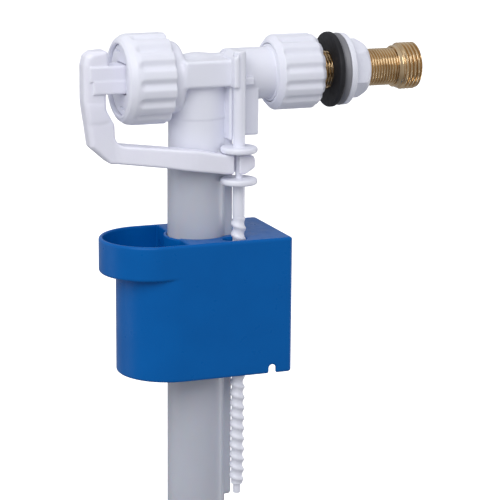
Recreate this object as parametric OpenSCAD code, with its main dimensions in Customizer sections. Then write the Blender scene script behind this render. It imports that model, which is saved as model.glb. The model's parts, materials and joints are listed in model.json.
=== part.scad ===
// Side-entry toilet fill valve with a bell float, drawn with the float down and the valve open.
// The inlet axis runs along X and the riser hangs down along -Z. The origin is on the inlet axis,
// at the outer end of the full inlet thread, where its end chamfer starts.

/* [Overall] */
// Distance from the riser's axis to the outer end of the full inlet thread
inlet_reach = 103.2; // [103:0.1:120]
// Distance from the inlet axis down to the lower end of the riser tube
riser_drop = 252; // [220:1:300]

/* [Valve head] */
// Outer radius of the ribbed cap nut
cap_r = 19.8; // [19.4:0.1:21]
// Number of grip grooves round the cap nut
cap_grooves = 15; // [10:1:20]
// Outer radius of the horizontal barrel
barrel_r = 9.7; // [9.5:0.1:10.4]
// Outer radius of the inlet neck
neck_r = 11.4; // [11:0.1:12]

/* [Inlet] */
// Outer radius of the ribbed coupling nut
coupling_r = 16.6; // [16:0.1:18]
// Number of grip grooves round the coupling nut
coupling_grooves = 14; // [10:1:18]
// Crest radius of the G3/8 shank thread
shank_r = 8.331; // [8.331]
// Pitch of the G3/8 shank thread
shank_pitch = 1.337; // [1.337]
// Crest radius of the G1/2 inlet thread
inlet_r = 10.478; // [10.478]
// Pitch of the G1/2 inlet thread
inlet_pitch = 1.814; // [1.814]
// Radius of the rubber and plastic wall washers
washer_r = 16.7; // [15:0.1:19]
// Backnut size across the flats
backnut_af = 23; // [22:0.5:27]

/* [Riser and float] */
// Outer radius of the riser tube
riser_r = 12.9; // [12.7:0.1:13]
// Wall thickness of the riser tube
riser_wall = 1.55; // [1.3:0.05:1.6]
// Height of the float's top face, measured from the inlet axis
float_top = -69.7; // [-72:0.1:-68]
// Height of the float's body
float_h = 61.1; // [50:0.1:70]
// Half the float's front-to-back depth
float_w = 22.7; // [22.5:0.1:24]
// Right side of the float, from the riser's axis
float_right = 36.9; // [34:0.1:42]
// Height of the cup lip round the float's top
lip_h = 15.4; // [12:0.1:18]
// Wall thickness of the float
float_wall = 1.8; // [1.5:0.1:1.9]

/* [Lever and screw] */
// Half the width of the lever's bar
lever_half = 6; // [5:0.1:6.1]
// Distance of the adjusting screw from the riser's axis, along X
screw_x = 13.35; // [13.3:0.05:13.6]
// Distance of the adjusting screw in front of the riser's axis
screw_y = -16.6; // [-16.8:0.05:-16.5]
// Radius of the screw's two discs
disc_r = 8.1; // [7:0.1:8.1]
// Crest radius of the screw's coarse thread
screw_crest_r = 3.3; // [3:0.1:3.4]
// Pitch of the screw's coarse thread
screw_pitch = 4.8; // [4:0.1:6]

/* [Hidden] */
$fn = 72;
eps = 0.01;
gap = 0.4;                      // working gap between pieces that move past each other
fit = 0.06;                     // radial clearance of a running fit

// Valve head, along X from the mouth of the cap nut to the riser
mouth_x = -36.2;
mouth_r = 15.5;
lip_back_x = -33.1;
cap_back_x = -15.5;
cap_bore_r = 17.1;
collar_r = 15.7;
collar_end_x = -9.3;
collar_thread_r = 16.8;
collar_front_x = -30.9;
seat_bore_r = 14.8;
shelf_x = -20.5;
outlet_r = 12.2;
outlet_floor_x = -13;
barrel_bore_r = 8.2;

// Riser socket
socket_bottom = -33;
socket_step_z = -17.5;
socket_lower_r = riser_r - 0.3;
socket_top = 10.3;
crown_r = 18;
socket_bore_r = 11.3;
socket_bore_top = -6;
air_port_z = -11.8;
air_port_r = 1.2;
spigot_r = 11.2;
spigot_bore_r = 9.7;
spigot_top = -8.5;

// Inlet neck and coupling
neck_x = 12.8;
neck_end_x = 46.8;
neck_thread_r = 12.6;
neck_thread_x = 33.3;
neck_bore_r = 8.4;
bulkhead_x = 14;
bulkhead_end_x = 22;
nozzle_r = 5;
nozzle_bore_r = 2.8;
seat_x = -20;
coupling_x = 33;
coupling_end_x = 55;
coupling_flange_x = 51.8;
coupling_bore_r = 13;
tail_flange_x = 48.7;
tail_flange_r = 12.3;
tail_bore_r = 5.6;
washer_x = 60.9;
rubber_t = 2.5;
plastic_t = 3.4;
backnut_x = washer_x + rubber_t + plastic_t;
backnut_flange_t = 2.8;
backnut_end_x = 78.2;
backnut_chamfer = 3.2;
backnut_turn = -9;
backnut_flange_r = 16;
end_chamfer = 0.9;
adapter_x = inlet_reach - 10.4;
adapter_step_x = inlet_reach - 3.1;
inlet_turns = 5;
adapter_bore_r = shank_r + fit;
adapter_outlet_r = 6;
tail_end_x = adapter_step_x - 1.4;
thread_depth = 0.6403;          // depth of a 55 degree thread, as a share of its pitch
root_end = 0.42;                // where each ring's root, flank and crest end, as shares of the pitch
crest_start = 0.5;
crest_end = 0.92;

// Screw guide and vent hood on the front of the body
guide_bottom = -25.6;
wall_bottom = -26.5;
guide_top = 12.2;
guide_left = 9.9;
guide_right = 16.9;
guide_front = -20.3;
guide_step_x = 12;
guide_step_y = -15.5;
guide_back = -7;
guide_chamfer = 2.5;
ledge_z = -3.2;
slab_left = -11;
slab_front = -16;
slab_top = 8.6;
hood_left = 10;
hood_right = 25;
hood_front = -10.5;
hood_back = 9;
hood_wall = 1.6;
hood_inner_top = -10.2;

// Lever pivot and travel
pivot_x = -31.6;
pivot_z = 3.4;
pin_r = 1.5;
pin_half = 10.5;
head_half = lever_half - 1;
rib_half = lever_half - 0.25;
mouth_half = 1.2;
fork_run = 2.1;
pad_z = -2.6;
pad_face_x = -28.62;
bonnet_face_x = -34.5;
pocket_floor_x = -27.9;
nipple_x = -28.2;
chamber_x = -25.5;
bonnet_back_x = -22.9;
insert_travel = 1.2;

// Adjusting screw, from top to bottom
rod_r = 2.65;
rod_top = 12.5;
disc_t = 2.6;
upper_disc_z = -30.3;
lower_disc_z = -44.15;
neck_rod_r = 1.6;
thread_top = -59.5;
thread_bottom = -182;
screw_root_r = 2.5;
screw_tip_r = 1.65;
screw_bottom = -186.5;

// Float
float_bottom = float_top - float_h;
lip_center_x = -21.5;
body_center_x = -13.7;
float_corner_r = 2;
tray_wall_x = -11;
tray_floor = float_top - lip_h + float_wall;
sleeve_bore_r = riser_r + gap;
sleeve_r = sleeve_bore_r + 1.3;
fin_x = 13.7;
fin_y0 = -8.1;
fin_y1 = -6;
fin_top = socket_bottom - 0.1;
fin_bottom = -190;
slot_left = 9.7;
slot_r = 3.6;
slot_depth = 9.3;
well_bore_r = screw_crest_r + 0.3;
well_r = well_bore_r + 1.3;
notch_x = 27.7;
notch_r = 1.7;
notch_h = 2.3;

// Moves drawings made about the riser's axis into the part's own frame
module placed() {
    translate([-inlet_reach, 0, 0]) children();
}

// A body of revolution about X, from points given as [radius, x]
module turned(points) {
    rotate([0, 90, 0]) rotate_extrude() polygon(points);
}

// A plain disc or tube about X
module ring_x(x0, x1, r_out, r_in = 0) {
    difference() {
        translate([x0, 0, 0]) rotate([0, 90, 0]) cylinder(r = r_out, h = x1 - x0);
        if (r_in > 0)
            translate([x0 - eps, 0, 0]) rotate([0, 90, 0]) cylinder(r = r_in, h = x1 - x0 + 2 * eps);
    }
}

// A bar across the part, along Y, from an outline given as [x, z]
module across(points, half) {
    rotate([90, 0, 0]) linear_extrude(height = 2 * half, center = true) polygon(points);
}

// A box between two corners
module block(low, high) {
    translate(low) cube(high - low);
}

// Grooves that make a finger grip round a nut
module grip_grooves(count, r, x0, x1, groove_r, sink) {
    for (i = [0 : count - 1])
        rotate([(i + 0.5) * 360 / count, 0, 0])
            translate([x0, 0, r + groove_r - sink])
                rotate([0, 90, 0]) cylinder(r = groove_r, h = x1 - x0, $fn = 32);
}

// Outline of an external thread drawn as rings: a flat root and a flat crest in each pitch
function thread_side(x0, turns, crest, pitch) = [
    for (i = [0 : turns - 1], p = [[0, 0], [root_end, 0], [crest_start, 1], [crest_end, 1]])
        [crest - (1 - p[1]) * thread_depth * pitch, x0 + (i + p[0]) * pitch]
];

module valve_body() placed() color("white") {
    difference() {
        union() {
            // Collar and barrel
            turned([[0, collar_front_x], [collar_thread_r, collar_front_x],
                    [collar_thread_r, cap_back_x - 0.7], [collar_r, cap_back_x - 0.7], [collar_r, -11.6],
                    [14.6, -10.2], [12.4, collar_end_x], [barrel_r, -8.6], [barrel_r, neck_x],
                    [neck_r - 0.4, neck_x + 1], [neck_r, neck_x + 2], [neck_r, neck_thread_x - 0.6],
                    [neck_thread_r, neck_thread_x], [neck_thread_r, neck_end_x], [0, neck_end_x]]);
            // Riser socket, a little slimmer below its step, with a domed crown over the barrel
            translate([0, 0, socket_bottom])
                cylinder(r = socket_lower_r, h = socket_step_z - socket_bottom + eps);
            intersection() {
                translate([0, 0, socket_step_z]) cylinder(r = riser_r, h = socket_top - socket_step_z + 1);
                union() {
                    translate([0, 0, socket_step_z - 1]) cylinder(r = riser_r + 1, h = -1 - socket_step_z);
                    translate([0, 0, socket_top - crown_r]) sphere(r = crown_r);
                }
            }
            // Rib along the barrel's front, from the collar to the screw guide
            block([slab_left, slab_front, ledge_z + 0.2], [guide_left + eps, guide_back, slab_top]);
            // Screw guide sleeve, its lug and the channel wall below it
            intersection() {
                translate([0, guide_back, 0]) rotate([90, 0, 0])
                    linear_extrude(height = guide_back - guide_front)
                        polygon([[guide_left, ledge_z], [guide_right, ledge_z], [guide_right, guide_top],
                                 [guide_left + guide_chamfer, guide_top],
                                 [guide_left, guide_top - guide_chamfer]]);
                union() {
                    block([guide_left - 1, guide_step_y, ledge_z - 1],
                          [guide_right + 1, guide_back + 1, guide_top + 1]);
                    block([guide_left - 1, guide_front - 1, ledge_z - 1],
                          [guide_step_x, guide_back + 1, guide_top + 1]);
                }
            }
            block([guide_right - eps, -13.5, ledge_z], [guide_right + 4.8, guide_back, 0.2]);
            block([guide_left, -14.2, wall_bottom], [guide_left + hood_wall, -8, ledge_z + eps]);
            // Vent hood under the neck, and the rib below it that the riser's fin carries on
            block([hood_left, hood_front, guide_bottom], [hood_right, hood_back, -6]);
            block([9, fin_y0, socket_bottom], [fin_x, fin_y1, guide_bottom + 1]);
        }
        // Seat for the bonnet and the diaphragm
        ring_x(collar_front_x - 1, shelf_x, seat_bore_r);
        // Outlet chamber and barrel bore
        ring_x(shelf_x - 1, outlet_floor_x, outlet_r);
        ring_x(outlet_floor_x - 1, bulkhead_x, barrel_bore_r);
        // Bulkhead bore for the nozzle and neck bore for restrictor and filter
        ring_x(bulkhead_x - 1, bulkhead_end_x + 1, nozzle_r + 0.1);
        ring_x(bulkhead_end_x, neck_end_x + 1, neck_bore_r);
        // Riser socket bore
        translate([0, 0, socket_bottom - 1])
            cylinder(r = socket_bore_r, h = socket_bore_top - socket_bottom + 1);
        translate([0, 0, socket_bore_top - 1]) cylinder(r = barrel_bore_r, h = 7);
        // Inside of the vent hood, open below, and its air port into the socket
        block([riser_r + hood_wall, hood_front + 3, guide_bottom - 1],
              [hood_right - hood_wall, hood_back - hood_wall, hood_inner_top]);
        translate([9, 0, air_port_z]) rotate([0, 90, 0]) cylinder(r = air_port_r, h = 7);
        // Guide bore for the screw's rod
        translate([screw_x, screw_y, ledge_z - 1]) cylinder(r = rod_r + fit, h = guide_top - ledge_z + 2);
    }
}

module cap_nut() placed() color("white") {
    difference() {
        turned([[mouth_r, mouth_x], [cap_r - 3.2, mouth_x], [cap_r - 1.9, mouth_x + 0.8],
                [cap_r - 0.5, mouth_x + 2.9], [cap_r, mouth_x + 5], [cap_r, cap_back_x],
                [cap_bore_r, cap_back_x], [cap_bore_r, lip_back_x], [mouth_r, lip_back_x]]);
        grip_grooves(cap_grooves, cap_r, mouth_x + 5.6, cap_back_x + 1, 3.2, 1.15);
    }
}

module bonnet() placed() color("whitesmoke") {
    difference() {
        turned([[0, bonnet_face_x], [mouth_r - 0.3, bonnet_face_x], [mouth_r - 0.3, lip_back_x + 0.1],
                [cap_bore_r - 0.2, lip_back_x + 0.1], [cap_bore_r - 0.2, collar_front_x - 0.1],
                [seat_bore_r - 0.1, collar_front_x - 0.1], [seat_bore_r - 0.1, bonnet_back_x],
                [10.6, bonnet_back_x], [10.6, chamber_x], [0, chamber_x]]);
        // Pocket that the lever's bar works in, with the pilot nipple on its floor
        difference() {
            block([bonnet_face_x - 1, -lever_half - gap, -6], [pocket_floor_x, lever_half + gap, 7.3]);
            translate([0, 0, pad_z]) ring_x(nipple_x, pocket_floor_x + eps, 1.3);
        }
        translate([0, 0, pad_z]) ring_x(nipple_x - 1, chamber_x + 1, 0.5);
        // Cross hole for the pivot pin
        translate([pivot_x, 0, pivot_z]) rotate([90, 0, 0])
            cylinder(r = pin_r + 0.01, h = 2 * pin_half + 0.1, center = true);
        // Moulding marks on the face
        block([bonnet_face_x - 1, 1.5, 11.5], [bonnet_face_x + 0.8, 8.4, 12.3]);
        block([bonnet_face_x - 1, -4.6, -12.9], [bonnet_face_x + 0.8, 1.4, -11.7]);
    }
}

module pivot_pin() placed() color("silver") {
    translate([pivot_x, 0, pivot_z]) rotate([90, 0, 0]) cylinder(r = pin_r, h = 2 * pin_half, center = true);
}

// Plan of the lever's lower arm: from the head, round the front of the riser, to the fork
module lever_plan() {
    polygon([[-53, -head_half], [-38, -head_half], [-8, -19.9], [20.3, -19.9], [20.3, -13.6],
             [-5.5, -13.9], [-36, head_half], [-53, head_half]]);
}

module lever() placed() color("white") {
    difference() {
        union() {
            // Bar from the head into the bonnet, in two steps
            across([[-48.7, -5.3], [-29.6, -5.3], [-29.6, 0.8], [-48.7, 0.8]], lever_half);
            across([[-50.2, 0.7], [-29.6, 0.7], [-29.6, 5.6], [-31, 6.8], [-50.2, 6.8]], rib_half);
            // Head and upright arm
            across([[-52.4, 7], [-51.4, 10.8], [-48.6, 12.9], [-42.2, 13.3], [-41.4, 12.4], [-41.4, 5],
                    [-42.6, 3], [-42.6, -12.1], [-39, -18.6], [-39, -23.4], [-37.6, -25.6], [-37.6, -36.2],
                    [-41.3, -35.6], [-49.6, -28.2], [-52.4, -8]], head_half);
            // Lower arm, cut to its plan
            intersection() {
                across([[-41, -35.7], [-19, -37.2], [0, -39.5], [6, -40.4], [15.5, -41], [20.3, -38],
                        [20.3, -34.5], [19.2, -33], [13, -32.6], [5, -31.7], [-6, -29.4], [-18, -28.7],
                        [-35, -28.2], [-38, -26.5], [-41, -26]], 30);
                translate([0, 0, -45]) linear_extrude(height = 30) lever_plan();
            }
        }
        // Hole for the pivot pin
        translate([pivot_x, 0, pivot_z]) rotate([90, 0, 0])
            cylinder(r = pin_r + fit, h = 2 * lever_half + 1, center = true);
        // Seat of the pilot pad in the nose
        translate([0, 0, pad_z]) ring_x(-30.8, -29, 1.9);
        // Fork slot round the screw's neck, with its snap mouth at the front
        translate([0, 0, -45]) linear_extrude(height = 16) {
            translate([screw_x, screw_y]) circle(r = neck_rod_r + gap);
            translate([screw_x - fork_run, screw_y]) circle(r = neck_rod_r + gap);
            translate([screw_x - fork_run, screw_y - neck_rod_r - gap])
                square([fork_run, 2 * (neck_rod_r + gap)]);
            translate([screw_x - fork_run - mouth_half, -21]) square([2 * mouth_half, 21 + screw_y]);
        }
    }
}

module pilot_pad() placed() color("dimgray") {
    translate([0, 0, pad_z]) ring_x(-30.7, pad_face_x, 1.85);
}

module diaphragm() placed() color([0.15, 0.15, 0.16]) {
    web_x = seat_x - insert_travel - 0.1;
    turned([[1.5, web_x - 1.5], [7, web_x - 1.5], [8.4, web_x - 2.6], [10, web_x - 1.6],
            [12.4, web_x - 1.2], [14.5, web_x - 1.2], [14.5, web_x - 0.5], [12.2, web_x - 0.5],
            [9.8, web_x - 0.6], [8.6, web_x - 1.5], [7.2, web_x], [1.5, web_x]]);
}

module diaphragm_insert() placed() color("ivory") {
    web_x = seat_x - insert_travel - 0.1;
    turned([[0, web_x - 2.9], [6.5, web_x - 2.9], [6.5, web_x - 1.5], [1.45, web_x - 1.5], [1.45, web_x],
            [2.2, web_x], [1.6, web_x + 1], [0.7, web_x + 3.2], [0, web_x + 3.2]]);
}

module inlet_nozzle() placed() color("ivory") {
    turned([[nozzle_bore_r, seat_x], [nozzle_r - 1, seat_x], [nozzle_r, seat_x + 1.4], [nozzle_r, 17.1],
            [3.75, 17.1], [3.75, 18.9], [nozzle_r, 18.9], [nozzle_r, bulkhead_end_x + 0.05],
            [neck_bore_r - 0.1, bulkhead_end_x + 0.05], [neck_bore_r - 0.1, 24], [nozzle_bore_r, 24]]);
}

module nozzle_o_ring() placed() color([0.12, 0.12, 0.12]) {
    translate([18, 0, 0]) rotate([0, 90, 0]) rotate_extrude() translate([4.43, 0]) circle(r = 0.63, $fn = 24);
}

module flow_restrictor() placed() color("lightgreen") {
    ring_x(24.1, 27.1, neck_bore_r - 0.1, 2.1);
}

module riser_tube() placed() color("white") {
    tube_bottom = -riser_drop;
    bore_top = socket_bottom - 2;
    difference() {
        union() {
            rotate_extrude() polygon([
                [0, tube_bottom], [riser_r - 1.6, tube_bottom], [riser_r, tube_bottom + 2.4],
                [riser_r, socket_bottom - 0.1], [spigot_r, socket_bottom - 0.1], [spigot_r, -15.3],
                [spigot_r - 1.1, -15.3], [spigot_r - 1.1, -13.5], [spigot_r, -13.5], [spigot_r, spigot_top],
                [0, spigot_top]]);
            block([riser_r - 1, fin_y0, fin_bottom], [fin_x, fin_y1, fin_top]);
            block([8, fin_y0, fin_bottom], [riser_r, fin_y1, fin_top]);
        }
        translate([0, 0, tube_bottom - 1]) cylinder(r = riser_r - riser_wall, h = bore_top - tube_bottom + 1);
        translate([0, 0, bore_top - 1]) cylinder(r = spigot_bore_r, h = spigot_top - bore_top + 2);
    }
}

module riser_o_ring() placed() color([0.12, 0.12, 0.12]) {
    translate([0, 0, -14.4]) rotate_extrude() translate([spigot_r - 0.5, 0]) circle(r = 0.58, $fn = 24);
}

// Outline of the float: straight sides, a square right end and a half-round left end
module float_plan(center_x, inset) {
    r = float_w - inset;
    corner = float_corner_r;
    right = float_right - inset;
    translate([center_x, 0]) circle(r = r, $fn = 96);
    translate([center_x, -r]) square([right - corner - center_x, 2 * r]);
    translate([center_x, corner - r]) square([right - center_x, 2 * (r - corner)]);
    for (side = [-1, 1])
        translate([right - corner, side * (r - corner)]) circle(r = corner);
}

// Oblong hole for the screw plate in the float's top
module screw_slot(r) {
    for (x = [slot_left, screw_x])
        translate([x, screw_y]) circle(r = r);
    translate([slot_left, screw_y - r]) square([screw_x - slot_left, 2 * r]);
}

module float_shell() placed() color([0.0, 0.36, 0.62]) {
    difference() {
        union() {
            difference() {
                union() {
                    translate([0, 0, float_bottom]) linear_extrude(height = float_h)
                        float_plan(body_center_x, 0);
                    translate([0, 0, float_top - lip_h]) linear_extrude(height = lip_h)
                        float_plan(lip_center_x, 0);
                }
                // Cup inside the lip
                translate([0, 0, tray_floor]) linear_extrude(height = lip_h) intersection() {
                    float_plan(lip_center_x, float_wall);
                    translate([-60, -40]) square([60 + tray_wall_x, 80]);
                }
                // Air chamber, open below
                translate([0, 0, float_bottom - 1]) linear_extrude(height = float_h - lip_h + 1)
                    float_plan(body_center_x, float_wall);
                translate([0, 0, float_bottom - 1]) linear_extrude(height = float_h - float_wall + 1)
                    intersection() {
                        float_plan(body_center_x, float_wall);
                        translate([tray_wall_x + float_wall, -40]) square([80, 80]);
                    }
            }
            // Sleeve round the riser, with the keyway boss for the riser's fin
            translate([0, 0, float_bottom]) cylinder(r = sleeve_r, h = float_h);
            block([8, fin_y0 - 1.9, float_bottom], [fin_x + 1.9, fin_y1 + 1.9, float_top]);
            // Well for the screw and walls round its oblong hole
            translate([screw_x, screw_y, float_bottom]) cylinder(r = well_r, h = float_h);
            translate([0, 0, float_top - slot_depth - float_wall])
                linear_extrude(height = slot_depth + float_wall) screw_slot(slot_r + 1.4);
        }
        translate([0, 0, float_bottom - 1]) cylinder(r = sleeve_bore_r, h = float_h + 2);
        block([4, fin_y0 - gap, float_bottom - 1], [fin_x + gap, fin_y1 + gap, float_top + 1]);
        translate([screw_x, screw_y, float_bottom - 1]) cylinder(r = well_bore_r, h = float_h + 2);
        translate([0, 0, float_top - slot_depth]) linear_extrude(height = slot_depth + 1) screw_slot(slot_r);
        // Notch in the front wall's lower edge
        block([notch_x - notch_r, -30, float_bottom - 1], [notch_x + notch_r, -15, float_bottom + notch_h]);
        translate([notch_x, -15, float_bottom + notch_h]) rotate([90, 0, 0]) cylinder(r = notch_r, h = 15);
    }
}

module screw_plate() placed() color("white") {
    difference() {
        translate([0, 0, float_top - slot_depth]) linear_extrude(height = 3.4) screw_slot(slot_r - 0.05);
        translate([screw_x, screw_y, float_top - slot_depth - 1]) cylinder(r = screw_crest_r + 0.1, h = 6);
    }
}

module adjusting_screw() placed() color("white") {
    turns = floor((thread_top - thread_bottom) / screw_pitch);
    // Rounded crest and root of one turn, from the top down, as shares of pitch and of thread height
    crest_form = [[0, 0], [0.14, 0], [0.3, 0.75], [0.42, 1], [0.58, 1], [0.7, 0.75], [0.86, 0]];
    crest_h = screw_crest_r - screw_root_r;
    thread_points = [
        for (i = [0 : turns - 1], p = crest_form)
            [screw_root_r + p[1] * crest_h, thread_top - (i + p[0]) * screw_pitch]
    ];
    translate([screw_x, screw_y, 0]) difference() {
        rotate_extrude() polygon(concat(
            [[0, rod_top], [rod_r - 0.5, rod_top], [rod_r, rod_top - 0.5], [rod_r, upper_disc_z + disc_t / 2],
             [disc_r - 0.6, upper_disc_z + disc_t / 2], [disc_r, upper_disc_z + 0.4],
             [disc_r, upper_disc_z - 0.4], [disc_r - 0.6, upper_disc_z - disc_t / 2],
             [neck_rod_r, upper_disc_z - disc_t / 2], [neck_rod_r, lower_disc_z + disc_t / 2],
             [disc_r - 0.6, lower_disc_z + disc_t / 2], [disc_r, lower_disc_z + 0.4],
             [disc_r, lower_disc_z - 0.4], [disc_r - 0.6, lower_disc_z - disc_t / 2],
             [rod_r, lower_disc_z - disc_t / 2], [rod_r, thread_top]],
            thread_points,
            [[screw_root_r, thread_bottom], [screw_tip_r, thread_bottom - 0.6],
             [screw_tip_r, screw_bottom], [0, screw_bottom]]));
        // Screwdriver slot in the top end
        block([-rod_r, -0.5, rod_top - 1.6], [rod_r, 0.5, rod_top + 1]);
    }
}

module coupling_nut() placed() color("white") {
    difference() {
        turned([[coupling_bore_r, coupling_x], [coupling_r - 2.4, coupling_x], [coupling_r, coupling_x + 2.6],
                [coupling_r, coupling_end_x - 2], [coupling_r - 1.8, coupling_end_x],
                [shank_r + 0.4, coupling_end_x], [shank_r + 0.4, coupling_flange_x],
                [coupling_bore_r, coupling_flange_x]]);
        grip_grooves(coupling_grooves, coupling_r, coupling_x + 3.2, coupling_end_x + 1, 3, 0.9);
    }
}

module inlet_gasket() placed() color([0.2, 0.2, 0.2]) {
    ring_x(neck_end_x + 0.05, tail_flange_x - 0.05, neck_thread_r - 0.4, neck_bore_r);
}

module inlet_filter() placed() color("lightyellow") {
    difference() {
        turned([[neck_bore_r - 0.2, 43.8], [neck_bore_r - 0.2, 44.8], [5.3, 44.8], [4.9, 66], [0, 66],
                [0, 65.2], [4.1, 65.2], [4.5, 43.8]]);
        for (row = [0 : 3], i = [0 : 5])
            rotate([i * 60, 0, 0]) block([46.5 + row * 4.6, -1.2, 2], [49.3 + row * 4.6, 1.2, 8]);
    }
}

module inlet_tail() placed() color("goldenrod") {
    thread_start = coupling_flange_x + 0.6;
    tail_turns = floor((tail_end_x - 0.8 - thread_start) / shank_pitch);
    turned(concat(
        [[tail_bore_r, tail_flange_x], [tail_flange_r, tail_flange_x],
         [tail_flange_r, coupling_flange_x - 0.1], [shank_r - 1, coupling_flange_x - 0.1],
         [shank_r - 1, thread_start]],
        thread_side(thread_start, tail_turns, shank_r, shank_pitch),
        [[shank_r - 1, tail_end_x], [tail_bore_r, tail_end_x]]));
}

module rubber_washer() placed() color([0.1, 0.1, 0.11]) {
    turned([[shank_r + 0.15, washer_x], [washer_r - 0.6, washer_x], [washer_r, washer_x + 0.6],
            [washer_r, washer_x + rubber_t - 0.5], [washer_r - 0.5, washer_x + rubber_t - 0.05],
            [shank_r + 0.15, washer_x + rubber_t - 0.05]]);
}

module plastic_washer() placed() color("gainsboro") {
    x0 = washer_x + rubber_t;
    turned([[shank_r + 0.2, x0], [washer_r - 2.4, x0], [washer_r - 2.2, x0 + 0.4], [washer_r - 0.6, x0 + 2.5],
            [washer_r - 0.6, backnut_x - 0.1], [shank_r + 0.2, backnut_x - 0.1]]);
}

module backnut() placed() color("white") {
    corner_r = backnut_af / sqrt(3);
    difference() {
        union() {
            turned([[0, backnut_x], [backnut_flange_r - 0.5, backnut_x], [backnut_flange_r, backnut_x + 0.5],
                    [backnut_flange_r - 0.2, backnut_x + backnut_flange_t],
                    [0, backnut_x + backnut_flange_t]]);
            intersection() {
                translate([backnut_x + 1, 0, 0]) rotate([backnut_turn, 0, 0]) rotate([0, 90, 0])
                    cylinder(r = corner_r, h = backnut_end_x - backnut_x - 1, $fn = 6);
                turned([[0, backnut_x], [corner_r + 1, backnut_x],
                        [corner_r + 1, backnut_end_x - backnut_chamfer],
                        [backnut_af / 2 - 0.6, backnut_end_x], [0, backnut_end_x]]);
            }
        }
        ring_x(backnut_x - 1, backnut_end_x + 1, shank_r + fit);
    }
}

module thread_adapter() placed() color("goldenrod") {
    root = inlet_r - thread_depth * inlet_pitch;
    thread_start = inlet_reach - (inlet_turns - 1 + crest_end) * inlet_pitch;
    end_x = inlet_reach + end_chamfer;
    turned(concat(
        [[adapter_bore_r, adapter_step_x], [adapter_bore_r, adapter_x], [shank_r + 0.8, adapter_x],
         [inlet_r - 0.4, adapter_x + 1.2], [root, thread_start - 0.05]],
        thread_side(thread_start, inlet_turns, inlet_r, inlet_pitch),
        [[root - 0.2, end_x], [adapter_outlet_r, end_x], [adapter_outlet_r, adapter_step_x]]));
}

module adapter_seal() placed() color("firebrick") {
    ring_x(tail_end_x + 0.05, adapter_step_x - 0.05, adapter_bore_r - 0.1, adapter_outlet_r);
}

valve_body();
cap_nut();
bonnet();
pivot_pin();
lever();
pilot_pad();
diaphragm();
diaphragm_insert();
inlet_nozzle();
nozzle_o_ring();
flow_restrictor();
riser_tube();
riser_o_ring();
float_shell();
screw_plate();
adjusting_screw();
coupling_nut();
inlet_gasket();
inlet_filter();
inlet_tail();
rubber_washer();
plastic_washer();
backnut();
thread_adapter();
adapter_seal();
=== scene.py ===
"""Looks of the side-entry fill valve: detailed moulded and turned pieces, and their finishes.

Shapes are worked out in millimetres from the point where the riser's axis meets the inlet's axis:
X runs along the inlet, Y away from the viewer and Z up. Soft-edged mouldings are distance fields
that surface_net() turns into meshes; nuts, washers and threads are profiles turned about an axis.
"""

import json
import math

import bpy
import numpy as np
from mathutils import Matrix, Vector


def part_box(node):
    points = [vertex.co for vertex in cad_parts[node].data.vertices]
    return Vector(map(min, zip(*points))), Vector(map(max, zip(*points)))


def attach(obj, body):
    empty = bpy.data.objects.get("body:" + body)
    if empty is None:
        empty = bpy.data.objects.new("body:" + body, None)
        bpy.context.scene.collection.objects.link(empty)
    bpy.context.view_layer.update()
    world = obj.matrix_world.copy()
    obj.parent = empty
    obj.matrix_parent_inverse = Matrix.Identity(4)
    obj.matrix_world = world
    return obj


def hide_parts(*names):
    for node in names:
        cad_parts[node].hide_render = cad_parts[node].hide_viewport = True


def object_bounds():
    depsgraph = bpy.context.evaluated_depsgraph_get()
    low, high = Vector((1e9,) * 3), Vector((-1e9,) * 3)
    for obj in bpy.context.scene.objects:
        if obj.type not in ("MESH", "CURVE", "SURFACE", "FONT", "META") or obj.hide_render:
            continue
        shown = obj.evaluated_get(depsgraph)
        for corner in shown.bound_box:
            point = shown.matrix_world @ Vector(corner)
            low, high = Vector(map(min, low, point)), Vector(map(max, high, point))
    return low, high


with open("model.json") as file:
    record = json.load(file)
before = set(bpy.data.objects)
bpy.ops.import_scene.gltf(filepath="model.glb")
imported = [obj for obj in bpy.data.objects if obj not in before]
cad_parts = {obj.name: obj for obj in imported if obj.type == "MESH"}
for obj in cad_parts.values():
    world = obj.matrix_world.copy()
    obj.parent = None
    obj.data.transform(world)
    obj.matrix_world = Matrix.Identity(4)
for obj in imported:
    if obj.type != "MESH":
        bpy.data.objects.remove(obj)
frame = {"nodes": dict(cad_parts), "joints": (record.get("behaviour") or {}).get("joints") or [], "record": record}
cad_low, cad_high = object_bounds()

MM = 0.001
INCH = 25.4
MOUNTS = {mount["name"]: mount for mount in frame["record"]["mounts"]}
JOINTS = {joint["name"]: joint for joint in frame["joints"]}
ORIGIN = np.array([MOUNTS["riser_outlet"]["pos_m"][0], 0.0, 0.0])
DETAIL = 1.0

# Places and sizes that more than one piece needs, in millimetres
PIVOT = (np.array(JOINTS["lever_pivot"]["pos_m"]) - ORIGIN) / MM
PIVOT_XZ = (PIVOT[0], PIVOT[2])
PILOT_YZ = (0, -2.6)  # the pilot hole, which the lever's pad closes
SHANK_CREST_R = 16.662 / 2  # G3/8
SHANK_HOLE_R = 8.391  # a threaded hole that the shank fits
WHITWORTH_DEPTH = 0.6403  # a pipe thread's depth, in pitches
RING_COLUMNS, RING_RUN = 96, 2  # round a plain ring, and a profile's longest straight run


class Extent:
    """A CAD node's box, in millimetres from the riser's axis; xy is its middle seen from above."""

    def __init__(self, node):
        low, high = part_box(node)
        self.low = (np.array(low) - ORIGIN) / MM
        self.high = (np.array(high) - ORIGIN) / MM
        self.x0, self.y0, self.z0 = self.low
        self.x1, self.y1, self.z1 = self.high
        self.xy = ((self.x0 + self.x1) / 2, (self.y0 + self.y1) / 2)


# ---------------------------------------------------------------- meshes


def linked(name, data):
    """A new object in the scene."""
    obj = bpy.data.objects.new(name, data)
    bpy.context.scene.collection.objects.link(obj)
    return obj


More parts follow.
